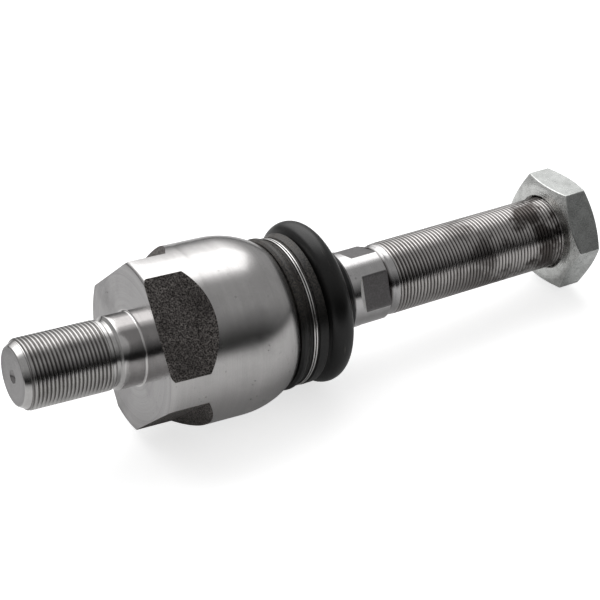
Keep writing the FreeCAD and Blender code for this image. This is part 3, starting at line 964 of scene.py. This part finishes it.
# %% [markdown]
# A nut is a hexagonal bar with both faces turned to a cone, which cuts each side in an arc. Round
# the hexagon the cone's edge rises and falls with the distance from the axis, so that arc comes
# by itself from the same sum.
# %% Lock nut
NUT_THICK = 13.0
NUT_SET_BACK = 1.6
NUT_START = ROD_END - NUT_SET_BACK - NUT_THICK
NUT_HALF = 20.5
NUT_FACE = 19.3
NUT_SLOPE = math.radians(25.0)
NUT_COLUMNS = 20
NUT_BORE = 14.05
NUT_LEAD = 0.9


def nut_row(point):
    """One row round the nut: a circle through (x, radius), or an edge of the hexagon by its name."""
    row = []
    for j in range(6 * NUT_COLUMNS):
        angle = math.radians(60.0 * j / NUT_COLUMNS)
        lean = (angle + math.pi / 6) % (math.pi / 3) - math.pi / 6
        out = NUT_HALF / math.cos(lean)
        rise = (out - NUT_FACE) * math.tan(NUT_SLOPE)
        edges = {"near_edge": (rise, out), "far_edge": (NUT_THICK - rise, out)}
        x, r = edges.get(point, point)
        row.append((x, r * math.cos(angle), r * math.sin(angle)))
    return row


nut_face = [(0.0, 14.9), (0.0, 17.0), (0.0, 19.2), (0.02, NUT_FACE)]
nut_far = [(NUT_THICK - x, r) for x, r in reversed(nut_face)]
near_bore = (NUT_LEAD, NUT_BORE)
far_bore = (NUT_THICK - NUT_LEAD, NUT_BORE)
nut_points = [near_bore] + nut_face + ["near_edge", "far_edge"] + nut_far + [far_bore, near_bore]
side_row = nut_points.index("near_edge")


def nut_slot(row, column):
    """The sides have a plainer zinc than the turned faces."""
    return 1 if row == side_row else 0


nut_rows = [nut_row(point) for point in nut_points]
nut_lie = lie_along(BALL + ROD_AXIS * NUT_START * MM, ROD_AXIS, 30.0)
nut = grid_piece("lock_nut_zinc", nut_rows, nut_lie, sharp=15.0, face_slot=nut_slot)
worn_edges = nut.modifiers.new("worn_edges", "BEVEL")
worn_edges.width = 0.25 * MM
worn_edges.segments = 2
worn_edges.limit_method = "ANGLE"
worn_edges.angle_limit = math.radians(20.0)
finish_piece(nut, "nut", "nut_zinc", ["lock_nut"], NUT_FACE_ZINC, NUT_SIDE_ZINC)

# %% [markdown]
# The two seats stay as the CAD made them, out of sight round the ball, and take their plastic.
# %% Seats
for name in ("seat_cup", "seat_ring"):
    seat = frame["nodes"][name]
    seat.data.materials.clear()
    seat.data.materials.append(SEAT_PLASTIC)
    print(f"{name}: {SEAT_PLASTIC.name}")

# %% [markdown]
# Steel shows its surroundings more than itself. So the floor is light near the part, which puts a
# pale band on the underside of every round piece, and gets dark farther off, where that band ends.
# A glow that the camera sees makes it white without hiding the part's shadow. Mirrors see only
# little of it, because polished steel in a white room would lose its dark bands.
# %% Floor
FLOOR = CAD_LOW.z - 0.0001
HALF_SIZE = 6.0
PART_MIDDLE = (0.07, 0.0, 0.0)
NEAR_GREY = (0.75, 0.75, 0.75)
FAR_GREY = (0.06, 0.06, 0.06)
NEAR_TO_FAR = (0.18, 0.7)
SEEN_GLOW = (0.70, 0.97)
MIRROR_GLOW = (0.08, 0.0)

corners = [(x * HALF_SIZE, y * HALF_SIZE, FLOOR) for x, y in ((-1, -1), (1, -1), (1, 1), (-1, 1))]
floor_mesh = bpy.data.meshes.new("floor")
floor_mesh.from_pydata(corners, [], [(0, 1, 2, 3)])
floor = bpy.data.objects.new("floor", floor_mesh)
bpy.context.scene.collection.objects.link(floor)
floor_paint, tree, shader = new_material("floor_paint")
away = add(tree, "VectorMath", own_place(tree), PART_MIDDLE, settings={"operation": "DISTANCE"})
far = spread(tree, away.outputs["Value"], *NEAR_TO_FAR)
fill(tree, shader.inputs["Base Color"], colours_between(tree, far, NEAR_GREY, FAR_GREY))
shader.inputs["Roughness"].default_value = 0.9
shader.inputs["Specular IOR Level"].default_value = 0.1
rays = add(tree, "LightPath")
mirrors = (rays.outputs["Is Glossy Ray"], rays.outputs["Is Transmission Ray"])
mirrored = add(tree, "Math", *mirrors, settings={"operation": "MAXIMUM"})
seen_glow = product_of(tree, rays.outputs["Is Camera Ray"], spread(tree, far, 0.0, 1.0, *SEEN_GLOW))
mirror_glow = product_of(tree, mirrored.outputs[0], spread(tree, far, 0.0, 1.0, *MIRROR_GLOW))
glow = sum_of(tree, seen_glow, mirror_glow)
white = add(tree, "Emission", Color=(1.0, 1.0, 1.0, 1.0), Strength=glow)
lit = add(tree, "AddShader", shader.outputs[0], white.outputs[0])
tree.links.new(lit.outputs[0], tree.nodes["Material Output"].inputs["Surface"])
floor.data.materials.append(floor_paint)
print(f"floor at {FLOOR / MM:.1f} mm")

# %% [markdown]
# The room is brightest overhead and behind the part, grey round it, and nearly black low in front.
# That draws a white band along the top of every round piece and a dark one below its middle, and a
# strength that depends on direction alone does it: the more a direction turns to the bright side,
# the lighter it is. The camera sees the room as plain white, and one soft lamp adds the shadow.
# %% Room and lamp
BRIGHT_SIDE = (0.1, 0.63, 0.77)
ROOM_RISE = (-0.42, 0.15)
ROOM_GREYS = (0.015, 0.38)
SOFTBOX_RISE = (0.68, 0.88)
SOFTBOX_GLOW = 1.1

world = bpy.data.worlds.new("studio")
bpy.context.scene.world = world
world.use_nodes = True
tree = world.node_tree
direction = add(tree, "TexCoord").outputs["Generated"]
turned_to = add(tree, "VectorMath", direction, BRIGHT_SIDE, settings={"operation": "DOT_PRODUCT"})
facing = turned_to.outputs["Value"]
room = spread(tree, facing, *ROOM_RISE, *ROOM_GREYS)
softbox = spread(tree, facing, *SOFTBOX_RISE, 0.0, SOFTBOX_GLOW)
seen = add(tree, "LightPath").outputs["Is Camera Ray"]
unseen = sum_of(tree, product_of(tree, seen, -1.0), 1.0)
level = sum_of(tree, product_of(tree, sum_of(tree, room, softbox), unseen), seen)
tree.links.new(level, tree.nodes["Background"].inputs["Strength"])
tree.nodes["Background"].inputs["Color"].default_value = (1.0, 1.0, 1.0, 1.0)


def soft_light(name, place, aim, size, power):
    """A rectangular area light at place, turned to aim."""
    lamp = bpy.data.lights.new(name, "AREA")
    lamp.shape = "RECTANGLE"
    lamp.size = size[0]
    lamp.size_y = size[1]
    lamp.energy = power
    holder = bpy.data.objects.new(name, lamp)
    bpy.context.scene.collection.objects.link(holder)
    holder.matrix_world = looking(place, aim)
    print(f"{name}: {power} W")


soft_light("overhead", place=(0.15, 0.5, 0.75), aim=(0.08, 0.0, 0.0), size=(1.4, 0.7), power=2.4)
bpy.context.scene.view_settings.view_transform = "Standard"
